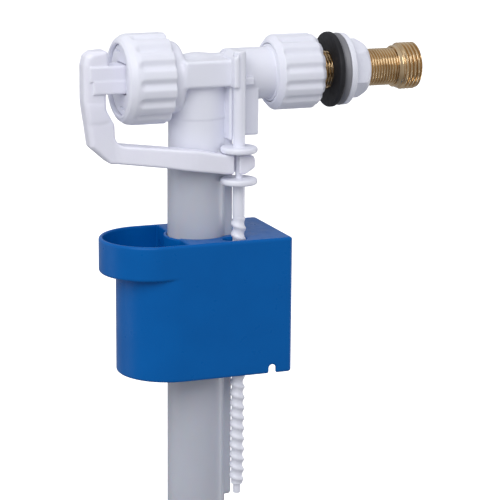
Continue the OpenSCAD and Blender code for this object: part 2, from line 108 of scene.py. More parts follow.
def add_piece(name, shape, body, node, slot, material, crease):
    """Puts a shape's mesh in place of a CAD node, shaded smooth up to the crease angle."""
    points, faces = shape(Extent(node))
    mesh = bpy.data.meshes.new(name)
    mesh.from_pydata((np.asarray(points) * MM + ORIGIN).tolist(), [], faces)
    mesh.validate()
    mesh.shade_smooth()
    mesh.set_sharp_from_angle(angle=math.radians(crease))
    piece = linked(name, mesh)
    mesh.materials.append(material)
    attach(piece, body)
    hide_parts(node)


def merged(points, faces):
    """Welds points that coincide and drops faces that have collapsed."""
    keys = np.round(np.asarray(points) / 1e-4).astype(np.int64)
    _, first, index = np.unique(keys, axis=0, return_index=True, return_inverse=True)
    index = index.ravel()
    kept = []
    for face in faces:
        ring = []
        for corner in face:
            if not ring or index[corner] != ring[-1]:
                ring.append(int(index[corner]))
        if len(ring) > 1 and ring[0] == ring[-1]:
            ring.pop()
        if len(ring) > 2:
            kept.append(ring)
    return np.asarray(points)[first], kept


def filleted(corners, steps=5):
    """A closed outline from corners (a, b, radius), each rounded by an arc."""
    outline = []
    count = len(corners)
    for i, (a, b, radius) in enumerate(corners):
        here = np.array((a, b), float)
        if radius <= 0:
            outline.append(tuple(here))
            continue
        back = np.array(corners[i - 1][:2], float) - here
        ahead = np.array(corners[(i + 1) % count][:2], float) - here
        back_length, ahead_length = np.linalg.norm(back), np.linalg.norm(ahead)
        back, ahead = back / back_length, ahead / ahead_length
        half = math.acos(float(np.clip(back @ ahead, -1, 1))) / 2
        reach = min(radius / math.tan(half), 0.49 * back_length, 0.49 * ahead_length)
        radius = reach * math.tan(half)
        middle = (back + ahead) / np.linalg.norm(back + ahead)
        centre = here + middle * radius / math.sin(half)
        start, end = here + back * reach - centre, here + ahead * reach - centre
        turn = math.atan2(start[0] * end[1] - start[1] * end[0], start @ end)
        for k in range(steps + 1):
            c, s = math.cos(turn * k / steps), math.sin(turn * k / steps)
            swung = (c * start[0] - s * start[1], s * start[0] + c * start[1])
            outline.append((centre[0] + swung[0], centre[1] + swung[1]))
    return outline


def spun(profile, columns, shape=None):
    """Turns a closed profile of (radius, x) about the X axis.

    shape(radius, x, angle), where there is one, gives the final radius.
    """
    radius, along = np.array(profile, float).T
    angle = np.arange(columns) * 2 * math.pi / columns
    r = np.repeat(radius[:, None], columns, 1)
    x = np.repeat(along[:, None], columns, 1)
    if shape is not None:
        r = shape(r, x, angle[None, :])
    points = np.stack([x, r * np.cos(angle), r * np.sin(angle)], -1).reshape(-1, 3)
    rows = len(profile)
    faces = []
    for i in range(rows):
        k = (i + 1) % rows
        for j in range(columns):
            n = (j + 1) % columns
            faces.append((i * columns + j, k * columns + j, k * columns + n, i * columns + n))
    area = np.sum(radius * np.roll(along, -1) - np.roll(radius, -1) * along)
    if area < 0:
        faces = [face[::-1] for face in faces]
    return merged(points, faces)


def upright(points):
    """Swings points turned about X so that they stand about Z: x becomes z."""
    x, y, z = np.asarray(points).T
    return np.stack([-z, y, x], -1)


def split_runs(profile, longest):
    """Adds points along a profile's long straight runs."""
    dense = []
    for (a, b), (c, d) in zip(profile, profile[1:] + profile[:1]):
        pieces = max(1, int(math.ceil(math.hypot(c - a, d - b) / longest)))
        dense += [(a + (c - a) * k / pieces, b + (d - b) * k / pieces) for k in range(pieces)]
    return dense


# ---------------------------------------------------------------- distance fields
# Negative inside. A shape that is cut away runs on well past what it is cut from.


def outline_distance(a, b, corners):
    """Signed distance from (a, b) to a closed outline."""
    nearest = np.full(np.broadcast(a, b).shape, np.inf)
    sign = np.ones(nearest.shape)
    for (a0, b0), (a1, b1) in zip(corners, corners[1:] + corners[:1]):
        ea, eb = a1 - a0, b1 - b0
        wa, wb = a - a0, b - b0
        t = np.clip((wa * ea + wb * eb) / (ea * ea + eb * eb), 0, 1)
        nearest = np.minimum(nearest, (wa - ea * t) ** 2 + (wb - eb * t) ** 2)
        above, below = b >= b0, b < b1
        left = ea * wb > eb * wa
        crossed = (above & below & left) | (~above & ~below & ~left)
        sign = np.where(crossed, -sign, sign)
    return sign * np.sqrt(nearest)


def extruded(flat, along, low, high, edge):
    """A flat shape's distance carried from low to high, with its rims rounded."""
    d = flat + edge
    h = np.abs(along - (low + high) / 2) - (high - low) / 2 + edge
    outside = np.hypot(np.maximum(d, 0), np.maximum(h, 0))
    return np.minimum(np.maximum(d, h), 0) + outside - edge


def rod(u, v, along, radius, low, high, edge=0.4, at=(0, 0)):
    """A round bar from low to high; u and v are the coordinates across it."""
    return extruded(np.hypot(u - at[0], v - at[1]) - radius, along, low, high, edge)


def brick(x, y, z, low, high, edge=0.4):
    """A box with rounded edges."""
    q = [np.abs(p - (a + b) / 2) - (b - a) / 2 + edge for p, a, b in zip((x, y, z), low, high)]
    outside = np.sqrt(sum(np.maximum(p, 0) ** 2 for p in q))
    return np.minimum(np.maximum(np.maximum(q[0], q[1]), q[2]), 0) + outside - edge


def joined(a, b, fillet=0.6):
    """Union with a fillet in the corner."""
    near = np.hypot(np.maximum(fillet - a, 0), np.maximum(fillet - b, 0))
    return np.maximum(fillet, np.minimum(a, b)) - near


def common(a, b, edge=0.4):
    """Intersection with a rounded edge."""
    near = np.hypot(np.maximum(edge + a, 0), np.maximum(edge + b, 0))
    return np.minimum(-edge, np.maximum(a, b)) + near


def without(a, b, edge=0.4):
    """Difference with a rounded rim."""
    return common(a, -b, edge)


def surface_net(field, box, step):
    """Quads on a field's zero surface, with one point in each grid cell that it crosses."""
    step = np.full(3, step, float) * DETAIL
    low = box.low - 2.37 * step  # so that no grid plane lies in one of the box's faces
    counts = [int(math.ceil((b - a) / s)) + 3 for a, b, s in zip(low, box.high, step)]
    axes = [a + s * np.arange(n) for a, s, n in zip(low, step, counts)]
    values = np.array(np.broadcast_to(field(*np.ix_(*axes)), counts))
    inside = values < 0
    corners = np.array([(i, j, k) for i in (0, 1) for j in (0, 1) for k in (0, 1)])
    m, n, o = (count - 1 for count in counts)
    full = sum(inside[i : m + i, j : n + j, k : o + k].astype(np.int8) for i, j, k in corners)
    active = (full > 0) & (full < 8)
    cell = np.argwhere(active)
    at = [values[tuple((cell + corner).T)] for corner in corners]
    total, hits = np.zeros((len(cell), 3)), np.zeros(len(cell))
    for i in range(8):
        for j in range(i + 1, 8):
            if np.abs(corners[i] - corners[j]).sum() != 1:
                continue
            crossed = (at[i] < 0) != (at[j] < 0)
            t = np.where(crossed, at[i] / np.where(crossed, at[i] - at[j], 1), 0)
            spot = corners[i] + t[:, None] * (corners[j] - corners[i])
            total += crossed[:, None] * spot
            hits += crossed
    points = settled(low + (cell + total / hits[:, None]) * step, field, step)
    index = np.full(active.shape, -1)
    index[active] = np.arange(len(cell))
    faces = []
    for axis in range(3):
        u, v = np.eye(3, dtype=int)[(axis + 1) % 3], np.eye(3, dtype=int)[(axis + 2) % 3]
        here = np.take(inside, range(counts[axis] - 1), axis)
        ahead = np.take(inside, range(1, counts[axis]), axis)
        edge = np.argwhere(here != ahead)
        ring = [index[tuple((edge - shift).T)] for shift in (0 * u, u, u + v, v)]
        quads = np.stack(ring, -1)
        flip = ~here[tuple(edge.T)]
        quads[flip] = quads[flip][:, ::-1]
        faces += quads.tolist()
    return points, faces


def settled(points, field, step, rounds=3, probe=0.02):
    """Moves points onto a field's zero surface along its slope, half a cell at most each round."""
    limit = 0.5 * float(np.min(step))
    for _ in range(rounds):
        x, y, z = points.T
        value = field(x, y, z)
        slope = np.stack(
            [
                field(x + probe, y, z) - field(x - probe, y, z),
                field(x, y + probe, z) - field(x, y - probe, z),
                field(x, y, z + probe) - field(x, y, z - probe),
            ],
            -1,
        ) / (2 * probe)
        steepness = np.maximum((slope**2).sum(-1), 0.3)  # no wild shift where it is flat
        shift = np.clip(value / steepness, -limit, limit)
        points = points - shift[:, None] * slope
    return points


# ---------------------------------------------------------------- finishes


class Finish:
    """A Principled material, and the texture steps that every finish here is made of."""

    def __init__(self, name, color, roughness, metallic=0.0):
        self.material = bpy.data.materials.new(name)
        self.material.use_nodes = True
        self.nodes = self.material.node_tree.nodes
        self.links = self.material.node_tree.links
        self.inputs = self.nodes["Principled BSDF"].inputs
        self.inputs["Base Color"].default_value = (*color, 1)
        self.inputs["Roughness"].default_value = roughness
        self.inputs["Metallic"].default_value = metallic
        self.where = self.nodes.new("ShaderNodeTexCoord").outputs["Object"]

    def noise(self, scale, detail=3.0, stretch=None):
        """A noise texture with features 1/scale metres across, rescaled by axis if asked."""
        where = self.where
        if stretch is not None:
            mapping = self.nodes.new("ShaderNodeMapping")
            mapping.inputs["Scale"].default_value = stretch
            self.links.new(where, mapping.inputs["Vector"])
            where = mapping.outputs["Vector"]
        texture = self.nodes.new("ShaderNodeTexNoise")
        texture.inputs["Scale"].default_value = scale
        texture.inputs["Detail"].default_value = detail
        self.links.new(where, texture.inputs["Vector"])
        return texture.outputs["Fac"]

    def ranged(self, texture, low, high):
        """Carries a texture's middle range, 0.3 to 0.7, to low and high."""
        node = self.nodes.new("ShaderNodeMapRange")
        node.inputs["From Min"].default_value = 0.3
        node.inputs["From Max"].default_value = 0.7
        node.inputs["To Min"].default_value = low
        node.inputs["To Max"].default_value = high
        self.links.new(texture, node.inputs["Value"])
        return node.outputs["Result"]

    def tint(self, texture, dark, light):
        """Lets the colour drift between dark and light."""
        mix = self.nodes.new("ShaderNodeMix")
        mix.data_type = "RGBA"
        mix.inputs["A"].default_value = (*dark, 1)
        mix.inputs["B"].default_value = (*light, 1)
        self.links.new(self.ranged(texture, 0, 1), mix.inputs["Factor"])
        self.links.new(mix.outputs["Result"], self.inputs["Base Color"])

    def gloss(self, texture, low, high):
        """Lets the roughness vary between low and high."""
        self.links.new(self.ranged(texture, low, high), self.inputs["Roughness"])

    def bump(self, texture, depth):
        """Raises the surface with the texture, by a depth in millimetres at half strength."""
        bump = self.nodes.new("ShaderNodeBump")
        bump.inputs["Strength"].default_value = 0.5
        bump.inputs["Distance"].default_value = depth * MM
        self.links.new(texture, bump.inputs["Height"])
        self.links.new(bump.outputs["Normal"], self.inputs["Normal"])


def moulded(name, dark, light, roughness, milky=0.0, grain=1400, depth=0.02, specular=0.5):
    """Injection-moulded plastic: slow tone drift, patchy gloss and a very fine mould texture."""
    finish = Finish(name, light, roughness)
    finish.tint(finish.noise(55), dark, light)
    finish.gloss(finish.noise(240), roughness - 0.05, roughness + 0.06)
    finish.bump(finish.noise(grain, 2), depth)
    finish.inputs["Specular IOR Level"].default_value = specular
    if milky:
        finish.inputs["Subsurface Weight"].default_value = milky
        finish.inputs["Subsurface Radius"].default_value = (1.0, 0.95, 1.0)
        finish.inputs["Subsurface Scale"].default_value = 0.0018
    return finish.material


def extruded_plastic(name, dark, light, roughness, stretch):
    """Tube plastic with faint draw lines along its length."""
    finish = Finish(name, light, roughness)
    lines = finish.noise(700, 2, stretch)
    finish.tint(finish.noise(30), dark, light)
    finish.gloss(lines, roughness - 0.04, roughness + 0.06)
    finish.bump(lines, 0.02)
    finish.inputs["Subsurface Weight"].default_value = 0.15
    finish.inputs["Subsurface Scale"].default_value = 0.002
    return finish.material


def turned_metal(name, dark, light, roughness, stretch):
    """Lathe-turned metal: fine rings across the axis and a little tarnish."""
    finish = Finish(name, light, roughness, metallic=1.0)
    finish.tint(finish.noise(160, 4), dark, light)
    rings = finish.noise(60, 2, stretch)
    finish.gloss(rings, roughness - 0.06, roughness + 0.08)
    finish.bump(rings, 0.01)
    return finish.material


def rubber(name, dark, light):
    """Moulded rubber: matt, with fine pits and a grey bloom."""
    finish = Finish(name, light, 0.62)
    finish.inputs["Specular IOR Level"].default_value = 0.3
    finish.tint(finish.noise(130, 4), dark, light)
    finish.gloss(finish.noise(500), 0.54, 0.72)
    finish.bump(finish.noise(2200, 3), 0.03)
    return finish.material


# Each finish goes from its darker to its lighter tone; a stretch makes lines or rings of its noise
WHITE = moulded("white_plastic", (0.83, 0.84, 0.93), (0.86, 0.87, 0.96), 0.36, milky=0.25)
LEVER_WHITE = moulded("lever_plastic", (0.85, 0.85, 0.96), (0.88, 0.88, 0.99), 0.38, milky=0.3)
# The tube's tone is a greyish white set well below the white plastic's: partly its own colour, partly painted
# shade for the shade that falls on the riser under the head and the float.
TUBE_WHITE_WITH_PAINTED_SHADE = extruded_plastic(
    "tube_plastic", (0.51, 0.53, 0.60), (0.55, 0.57, 0.64), 0.34, stretch=(1, 1, 0.02)
)
BLUE = moulded(
    "blue_plastic", (0.0, 0.11, 0.40), (0.0, 0.12, 0.43), 0.32, depth=0.01, specular=0.14
)
GREY = moulded("grey_plastic", (0.19, 0.19, 0.21), (0.23, 0.23, 0.25), 0.4)
ACETAL = moulded("acetal", (0.72, 0.70, 0.62), (0.78, 0.76, 0.68), 0.4)
GREEN = moulded("green_plastic", (0.28, 0.52, 0.33), (0.33, 0.58, 0.37), 0.45)
FIBRE = moulded("red_fibre", (0.30, 0.05, 0.03), (0.42, 0.09, 0.05), 0.8, grain=900, depth=0.06)
RUBBER = rubber("black_rubber", (0.012, 0.012, 0.014), (0.022, 0.022, 0.026))
BRASS = turned_metal("brass", (0.60, 0.43, 0.24), (0.80, 0.61, 0.38), 0.16, stretch=(90, 1, 1))
STEEL = turned_metal("steel", (0.45, 0.45, 0.46), (0.62, 0.62, 0.63), 0.25, stretch=(1, 90, 1))


# ---------------------------------------------------------------- body, cap nut, bonnet and lever


def valve_body(box):
    """Barrel, crown, riser socket and inlet neck, with the screw's guide and the vent hood."""
    riser_r = Extent("riser_tube").y1
    screw = Extent("adjusting_screw")
    # Round parts along X: radius, start and end
    collar, barrel, neck = (15.7, -17.5, -9.2), (9.7, -14, 14), (11.4, 12.8, 36)
    cap_spigot, coupling_spigot = (16.8, box.x0, -16.2), (12.6, 33, box.x1)
    bonnet_recess, chamber, barrel_bore = (14.8, -40, -20.5), (12.2, -24, -13), (8.2, -20, 14)
    nozzle_seat, neck_bore = (5.1, 10, 24), (8.4, 22, 60)
    # Bores along Z: radius, start and end
    socket_bore, outlet = (11.3, -50, -6), (8.2, -12, 0)
    guide_bore = (2.71, -12, 30)
    crown_top, crown_r = 10.3, 18
    socket_step = -17.5
    ledge = -3.2
    guide_left, guide_right, guide_top = 9.9, 16.9, 12.2
    open_x, open_y = 12, -15.5  # the guide's front is open right of here and before here
    well_inside = -20  # a field's value far from any surface
    guide_side = filleted(  # (x, z, corner radius)
        [
            (guide_left, ledge, 0.5),
            (guide_right, ledge, 0.5),
            (guide_right, guide_top, 1.2),
            (12.4, guide_top, 0.8),
            (guide_left, 9.7, 0.8),
        ]
    )

    def field(x, y, z):
        solid = rod(y, z, x, *collar, edge=3.0)
        solid = joined(solid, rod(y, z, x, *barrel, edge=0.5), fillet=1.0)
        dome = np.sqrt(x**2 + y**2 + (z - crown_top + crown_r) ** 2) - crown_r
        crown = common(np.hypot(x, y) - riser_r, np.where(z > 0, dome, well_inside), edge=1.6)
        solid = joined(solid, common(crown, socket_step - z, edge=0.3), fillet=0.8)
        socket = rod(x, y, z, riser_r - 0.3, box.z0, socket_step + 2, edge=0.3)
        solid = joined(solid, socket, fillet=0.3)
        solid = joined(solid, rod(y, z, x, *neck, edge=0.7), fillet=0.6)
        slab = brick(x, y, z, (-11, -16, ledge + 0.2), (13, -5, 8.6), edge=1.3)
        solid = joined(solid, slab, fillet=1.6)
        guide = extruded(outline_distance(x, z, guide_side), y, box.y0, -5, edge=0.8)
        opening = brick(x, y, z, (open_x, -30, -20), (30, open_y, 30), edge=0.4)
        solid = joined(solid, without(guide, opening, edge=0.4), fillet=0.5)
        lug = brick(x, y, z, (15, -13.5, ledge + 0.1), (21.7, -6, 0.2), edge=0.6)
        solid = joined(solid, lug, fillet=0.5)
        wall = brick(x, y, z, (guide_left, -14.2, -26.5), (11.5, -8, ledge + 1), edge=0.35)
        solid = joined(solid, wall, fillet=0.3)
        hood = brick(x, y, z, (10, -10.5, -25.6), (25, 9, -5), edge=0.9)
        hollow = brick(x, y, z, (14.5, -7.5, -40), (23.4, 7.4, -10.2), edge=0.5)
        solid = joined(solid, without(hood, hollow, edge=0.3), fillet=0.5)
        rib = brick(x, y, z, (9, -8.1, box.z0), (13.7, -6, -24), edge=0.35)
        solid = joined(solid, rib, fillet=0.3)
        for spigot in (cap_spigot, coupling_spigot):
            solid = np.minimum(solid, rod(y, z, x, *spigot, edge=0.3))
        for bore in (bonnet_recess, chamber, barrel_bore, nozzle_seat, neck_bore):
            solid = without(solid, rod(y, z, x, *bore, edge=0.2), edge=0.2)
        for bore in (socket_bore, outlet):
            solid = without(solid, rod(x, y, z, *bore, edge=0.2), edge=0.2)
        return without(solid, rod(x, y, z, *guide_bore, edge=0.1, at=screw.xy), edge=0.35)

    return surface_net(field, box, 0.5)


def fluted(profile, count, outer, start, end, width, depth):
    """A nut with rounded flutes round its outside, closed at start and running out past end."""
    pitch = 2 * math.pi * outer / count
    band, blend = 3.2, 1.2  # how far in from the outside the flutes reach, and how softly

    def shape(r, x, angle):
        phase = angle * count / (2 * math.pi)
        across = (phase - np.floor(phase) - 0.5) * pitch
        behind = np.maximum(start - x, 0)
        past = np.maximum(x - end, 0)
        away = np.hypot(across, np.hypot(behind, past)) / (width / 2)
        flute = 0.5 + 0.5 * np.cos(math.pi * np.minimum(away, 1))
        outside = np.clip((r - (outer - band)) / blend, 0, 1)
        return r - depth * flute**0.75 * outside

    longest_run, columns_per_flute = 0.6, 24
    return spun(split_runs(profile, longest_run), count * columns_per_flute, shape)


def cap_nut(box):
    """Large ribbed ring nut with an open mouth and a lip that holds the bonnet."""
    outer, mouth_r, thread_r, lip_back = box.y1, 15.5, 17.1, -33.1
    profile = filleted(  # (radius, x, corner radius)
        [
            (mouth_r, box.x0, 0.35),
            (outer - 3.2, box.x0, 0.5),
            (outer - 1.9, box.x0 + 0.8, 1.0),
            (outer - 0.4, box.x0 + 3.0, 2.2),
            (outer, box.x0 + 5.4, 2.2),
            (outer, box.x1, 0.8),
            (thread_r, box.x1, 0.2),
            (thread_r, lip_back, 0),
            (mouth_r, lip_back, 0.2),
        ]
    )
    return fluted(profile, 15, outer, box.x0 + 6.4, box.x1 + 9, width=5.4, depth=1.25)


def coupling_nut(box):
    """Ribbed union nut that pulls the shank's flange against the neck."""
    outer, thread_r, flange_x, shank_hole_r = box.y1, 13.0, 51.8, 8.75
    profile = filleted(  # (radius, x, corner radius)
        [
            (thread_r, box.x0, 0.3),
            (outer - 2.4, box.x0, 0.6),
            (outer, box.x0 + 2.3, 0.9),
            (outer, box.x1 - 2.2, 1.6),
            (outer - 1.9, box.x1, 0.8),
            (shank_hole_r, box.x1, 0.3),
            (shank_hole_r, flange_x, 0),
            (thread_r, flange_x, 0),
        ]
    )
    return fluted(profile, 14, outer, box.x0 + 4.3, box.x1 + 2, width=4.8, depth=1.0)


def bonnet(box):
    """Round insert with a slot for the lever's nose, the pilot jet in it and two sunk marks."""
    # Round parts along X: radius, start and end
    face, flange, spigot = (15.2, box.x0, -32), (16.9, -33, -31), (14.7, -32, box.x1)
    chamber, jet, pilot_hole = (10.6, -25.5, -10), (1.3, -28.2, -20), (0.5, -40, -10)
    pin = (1.51, -10.55, 10.55)
    mark_floor = box.x0 + 0.8

    def field(x, y, z):
        solid = rod(y, z, x, *face, edge=0.4)
        solid = np.minimum(solid, rod(y, z, x, *flange, edge=0.1))
        solid = np.minimum(solid, rod(y, z, x, *spigot, edge=0.1))
        solid = without(solid, rod(y, z, x, *chamber, edge=0.1), edge=0.1)
        slot = brick(x, y, z, (-50, -6.4, -6), (-27.9, 6.4, 7.3), edge=0.3)
        slot = without(slot, rod(y, z, x, *jet, edge=0.1, at=PILOT_YZ), edge=0.1)
        solid = without(solid, slot, edge=0.4)
        solid = without(solid, rod(y, z, x, *pilot_hole, edge=0.05, at=PILOT_YZ), edge=0.1)
        solid = without(solid, rod(x, z, y, *pin, edge=0.05, at=PIVOT_XZ), edge=0.05)
        upper_mark = brick(x, y, z, (-50, 1.5, 11.5), (mark_floor, 8.4, 12.3), edge=0.1)
        lower_mark = brick(x, y, z, (-50, -4.6, -12.9), (mark_floor, 1.4, -11.7), edge=0.1)
        return without(solid, np.minimum(upper_mark, lower_mark), edge=0.15)

    return surface_net(field, box, 0.4)


def lever(box):
    """C-shaped arm: a bar into the bonnet, a head, and a long arm to the fork on the screw."""
    screw_x, screw_y = Extent("adjusting_screw").xy
    bar_half = box.y1
    head_half, rib_half = bar_half - 1.0, bar_half - 0.25
    fork_r, fork_play = 2.0, 1.05  # the fork's slot: its radius and half the length it adds
    head_x, head_edge, arm_edge = -40, 2.6, 1.1  # edges get rounder from head_x out, over 9 mm
    swell_z, swell_half, swell_h = -13.5, 4.6, 0.35
    mouth_right, mouth_left = screw_x - 0.9, screw_x - 3.3
    side = filleted(  # (x, z, corner radius)
        [
            (box.x0, 7, 6),
            (-51.4, 11.2, 2.5),
            (-48.8, 13.0, 2.5),
            (-41.8, box.z1, 1.2),
            (-41.4, 5, 1),
            (-42.6, 3, 1),
            (-42.6, -12.1, 5),
            (-39, -18.6, 4),
            (-38.6, -27.9, 4.5),
            (-18, -28.7, 0),
            (-6, -29.4, 12),
            (5, -31.7, 12),
            (13, -32.7, 3),
            (19.2, -33, 1.2),
            (box.x1, -34.6, 0.8),
            (box.x1, -38.0, 1.0),
            (15.5, box.z0, 2.5),
            (6, -40.4, 4),
            (0, -39.5, 8),
            (-19, -37.2, 0),
            (-41.0, -35.7, 2.0),
            (-49.6, -28.2, 1.6),
            (box.x0, -8, 14),
        ]
    )
    plan = filleted(  # (x, y, corner radius)
        [
            (-60, -head_half, 0),
            (-38, -head_half, 8),
            (-8, box.y0, 30),
            (box.x1, box.y0, 1.2),
            (box.x1, -13.6, 0.8),
            (-5.5, -13.9, 5),
            (-36, head_half, 3),
            (-60, head_half, 0),
        ]
    )
    bar_side = [(-48.7, -5.3), (-29.6, -5.3), (-29.6, 0.8), (-48.7, 0.8)]
    rib_side = [(-50.2, 0), (-29.6, 0), (-29.6, 5.6), (-31, 6.8), (-50.2, 6.8)]

    def field(x, y, z):
        # The head's sides swell a little at the middle of its height
        away = np.clip(np.abs(z - swell_z) / swell_half, 0, 1) ** 4 + np.clip((x + 44) / 6, 0, 1)
        flat = outline_distance(x, y, plan) - swell_h * np.clip(1 - away, 0, 1)
        edge = arm_edge + (head_edge - arm_edge) * np.clip((head_x - x) / 9, 0, 1)
        solid = common(outline_distance(x, z, side), flat, edge)
        bar = outline_distance(x, z, bar_side)
        rib = outline_distance(x, z, rib_side)
        bar = np.minimum(
            extruded(bar, y, -bar_half, bar_half, edge=0.7),
            extruded(rib, y, -rib_half, rib_half, edge=0.9),
        )
        solid = joined(solid, bar, fillet=0.3)
        solid = without(solid, rod(x, z, y, 1.56, -20, 20, edge=0.1, at=PIVOT_XZ), edge=0.1)
        pad_seat = rod(y, z, x, 1.9, -30.8, -25, edge=0.05, at=PILOT_YZ)
        solid = without(solid, pad_seat, edge=0.05)
        along = np.maximum(np.abs(x - screw_x + fork_play) - fork_play, 0)
        slot = extruded(np.hypot(along, y - screw_y) - fork_r, z, -50, -20, edge=0.1)
        mouth = brick(x, y, z, (mouth_left, -30, -50), (mouth_right, screw_y, -20), edge=0.1)
        return without(solid, np.minimum(slot, mouth), edge=0.4)

    return surface_net(field, box, 0.45)


# ---------------------------------------------------------------- riser, float and adjusting screw


def riser_tube(box):
    """Outlet pipe with a spigot at its top, a chamfered lower end and a thin fin on its front."""
    outer = box.y1
    bore = MOUNTS["riser_outlet"]["dims"]["r_mm"]
    shoulder, fin_bottom = -33.1, -190
    chamfer, chamfer_h = 0.6, 2.4
    spigot_r, spigot_bore_r = 11.2, 9.7

    def field(x, y, z):
        solid = rod(x, y, z, outer, box.z0, shoulder, edge=0.3)
        lead_in = np.hypot(x, y) - outer + chamfer * (box.z0 + chamfer_h - z)
        solid = common(solid, lead_in, edge=0.5)
        solid = np.minimum(solid, rod(x, y, z, spigot_r, -36, box.z1, edge=0.4))
        fin = brick(x, y, z, (10, -8.1, fin_bottom), (box.x1, -6, shoulder), edge=0.35)
        fin_end = (x - 2.4 - (z - fin_bottom) * 1.2) * 0.64 - 7.2  # its lower end slants
        solid = joined(solid, common(fin, fin_end, edge=0.3), fillet=0.4)
        solid = without(solid, rod(x, y, z, bore, -400, -35, edge=0.2), edge=0.4)
        return without(solid, rod(x, y, z, spigot_bore_r, -40, 0, edge=0.1), edge=0.2)

    return surface_net(field, box, (0.55, 0.55, 1.6))


def float_shell(box):
    """Bell float, open below: cup-shaped lip, sleeve on the riser, keyway, and the screw's well."""
    screw_x, screw_y = Extent("adjusting_screw").xy
    half, top, bottom, right = box.y1, box.z1, box.z0, box.x1
    wall, corner = 1.8, 2.0
    lip_centre = box.x0 + half
    body_centre = lip_centre + 7.8
    lip_bottom = top - 15.4
    tray_x = -11.0
    sleeve_bore = Extent("riser_tube").y1 + 0.4
    slot_left, slot_r, slot_depth = 9.7, 3.6, 9.3
    inner_low, inner_high = bottom + 0.3, top - 0.4
    well_r, well_wall, slot_wall, sleeve_wall = 3.6, 1.3, 1.4, 1.3
    notch_x, notch_r, notch_h = 27.7, 1.7, 2.3

    def plan(x, y, centre, inset):
        """The float seen from above: half round on the left and square on the right."""
        radius = half - inset
        round_end = np.hypot(x - centre, y) - radius
        qx, qy = x - (right - inset) + corner, np.abs(y) - radius + corner
        square_end = (
            np.minimum(np.maximum(qx, qy), 0)
            + np.hypot(np.maximum(qx, 0), np.maximum(qy, 0))
            - corner
        )
        return np.where(x < centre, round_end, square_end)

    def field(x, y, z):
        body_inner = plan(x, y, body_centre, wall)
        solid = extruded(plan(x, y, body_centre, 0), z, bottom, top, edge=1.1)
        lip = extruded(plan(x, y, lip_centre, 0), z, lip_bottom, top, edge=1.1)
        solid = np.minimum(solid, lip)
        cup = common(plan(x, y, lip_centre, wall), x - tray_x, edge=0.6)
        cup = extruded(cup, z, lip_bottom + wall, top + 20, edge=0.9)
        solid = without(solid, cup, edge=0.75)
        chamber = extruded(body_inner, z, bottom - 20, lip_bottom, edge=0.8)
        upper = common(body_inner, tray_x + wall - x, edge=0.6)
        upper = extruded(upper, z, bottom - 20, top - wall, edge=0.8)
        solid = without(solid, np.minimum(chamber, upper), edge=0.5)
        inner = rod(x, y, z, sleeve_bore + sleeve_wall, inner_low, inner_high)
        boss = brick(x, y, z, (8, -10, inner_low), (15.6, -4.1, inner_high))
        well = rod(x, y, z, well_r + well_wall, inner_low, inner_high, at=(screw_x, screw_y))
        oblong = np.hypot(x - np.clip(x, slot_left, screw_x), y - screw_y)
        pocket = oblong - slot_r - slot_wall
        pocket = extruded(pocket, z, top - slot_depth - wall, inner_high, edge=0.4)
        inner = np.minimum(np.minimum(inner, boss), np.minimum(well, pocket))
        solid = joined(solid, inner, fillet=0.4)
        solid = without(solid, rod(x, y, z, sleeve_bore, -300, 0, edge=0.1), edge=0.45)
        keyway = brick(x, y, z, (4, -8.5, -300), (14.1, -5.6, 0), edge=0.2)
        solid = without(solid, keyway, edge=0.3)
        well_bore = rod(x, y, z, well_r, -300, 0, edge=0.1, at=(screw_x, screw_y))
        solid = without(solid, well_bore, edge=0.2)
        slot = extruded(oblong - slot_r, z, top - slot_depth, top + 9, edge=0.2)
        solid = without(solid, slot, edge=0.5)
        notch = np.hypot(x - notch_x, np.maximum(z - (bottom + notch_h), 0)) - notch_r
        return without(solid, extruded(notch, y, -40, -15, edge=0.1), edge=0.7)

    return surface_net(field, box, 0.6)


def adjusting_screw(box):
    """Rod with two discs that hold the lever's fork between them, and a coarse thread below."""
    disc = (box.x1 - box.x0) / 2
    rod_r, neck_r, root, crest, tip = 2.65, 1.6, 2.5, 3.3, 1.65
    pitch, thread_top, thread_bottom = 4.8, -59.5, -182.0
    upper, lower, thick = -30.3, -44.15, 2.6
    taper_h = 0.6  # at the tip
    profile = [(0, box.z0, 0), (tip, box.z0, 0.4), (tip, thread_bottom - taper_h, 0)]
    profile += [(root, thread_bottom, 0), (root, thread_top, 0), (rod_r, thread_top, 0)]
    profile += [(rod_r, lower - thick / 2, 0.3)]
    profile += [(disc, lower - thick / 2, 0.95), (disc, lower + thick / 2, 0.95)]
    profile += [(neck_r, lower + thick / 2, 0.3), (neck_r, upper - thick / 2, 0.3)]
    profile += [(disc, upper - thick / 2, 0.95), (disc, upper + thick / 2, 0.95)]
    profile += [(rod_r, upper + thick / 2, 0.3), (rod_r, box.z1, 0.5), (0, box.z1, 0)]

    def shape(r, z, angle):
        """Adds one rounded helical ridge, run out at both ends."""
        phase = (z - thread_bottom) / pitch + angle / (2 * math.pi)
        wave = 0.5 + 0.5 * np.cos(2 * math.pi * phase)
        ends = np.minimum(z - thread_bottom, thread_top - z) / (0.5 * pitch)
        ridge = (crest - root) * wave**1.6 * np.clip(ends, 0, 1)
        return r + ridge * (r > tip + 0.01)

    longest_run, columns = 0.45, 32
    points, faces = spun(split_runs(filleted(profile, 4), longest_run), columns, shape)
    return upright(points) + np.array([*box.xy, 0]), faces


# ---------------------------------------------------------------- inlet side


def threaded(start, end, pitch, root, crest):
    """Radius of a helical thread, run out over three quarters of a turn at its start and end."""

    def shape(r, x, angle):
        phase = (x - start) / pitch - angle / (2 * math.pi)
        wave = 1 - np.abs(2 * (phase - np.floor(phase)) - 1)
        form = np.clip(1.5 * wave - 0.2, 0, 1)
        form = form * form * (3 - 2 * form)  # rounded crest and root
        ends = np.clip(np.minimum(x - start, end - x) / (0.75 * pitch), 0, 1)
        on_thread = (r > root - 0.02) & (r < crest)
        return np.where(on_thread, root + (crest - root) * form * ends, r)

    return shape


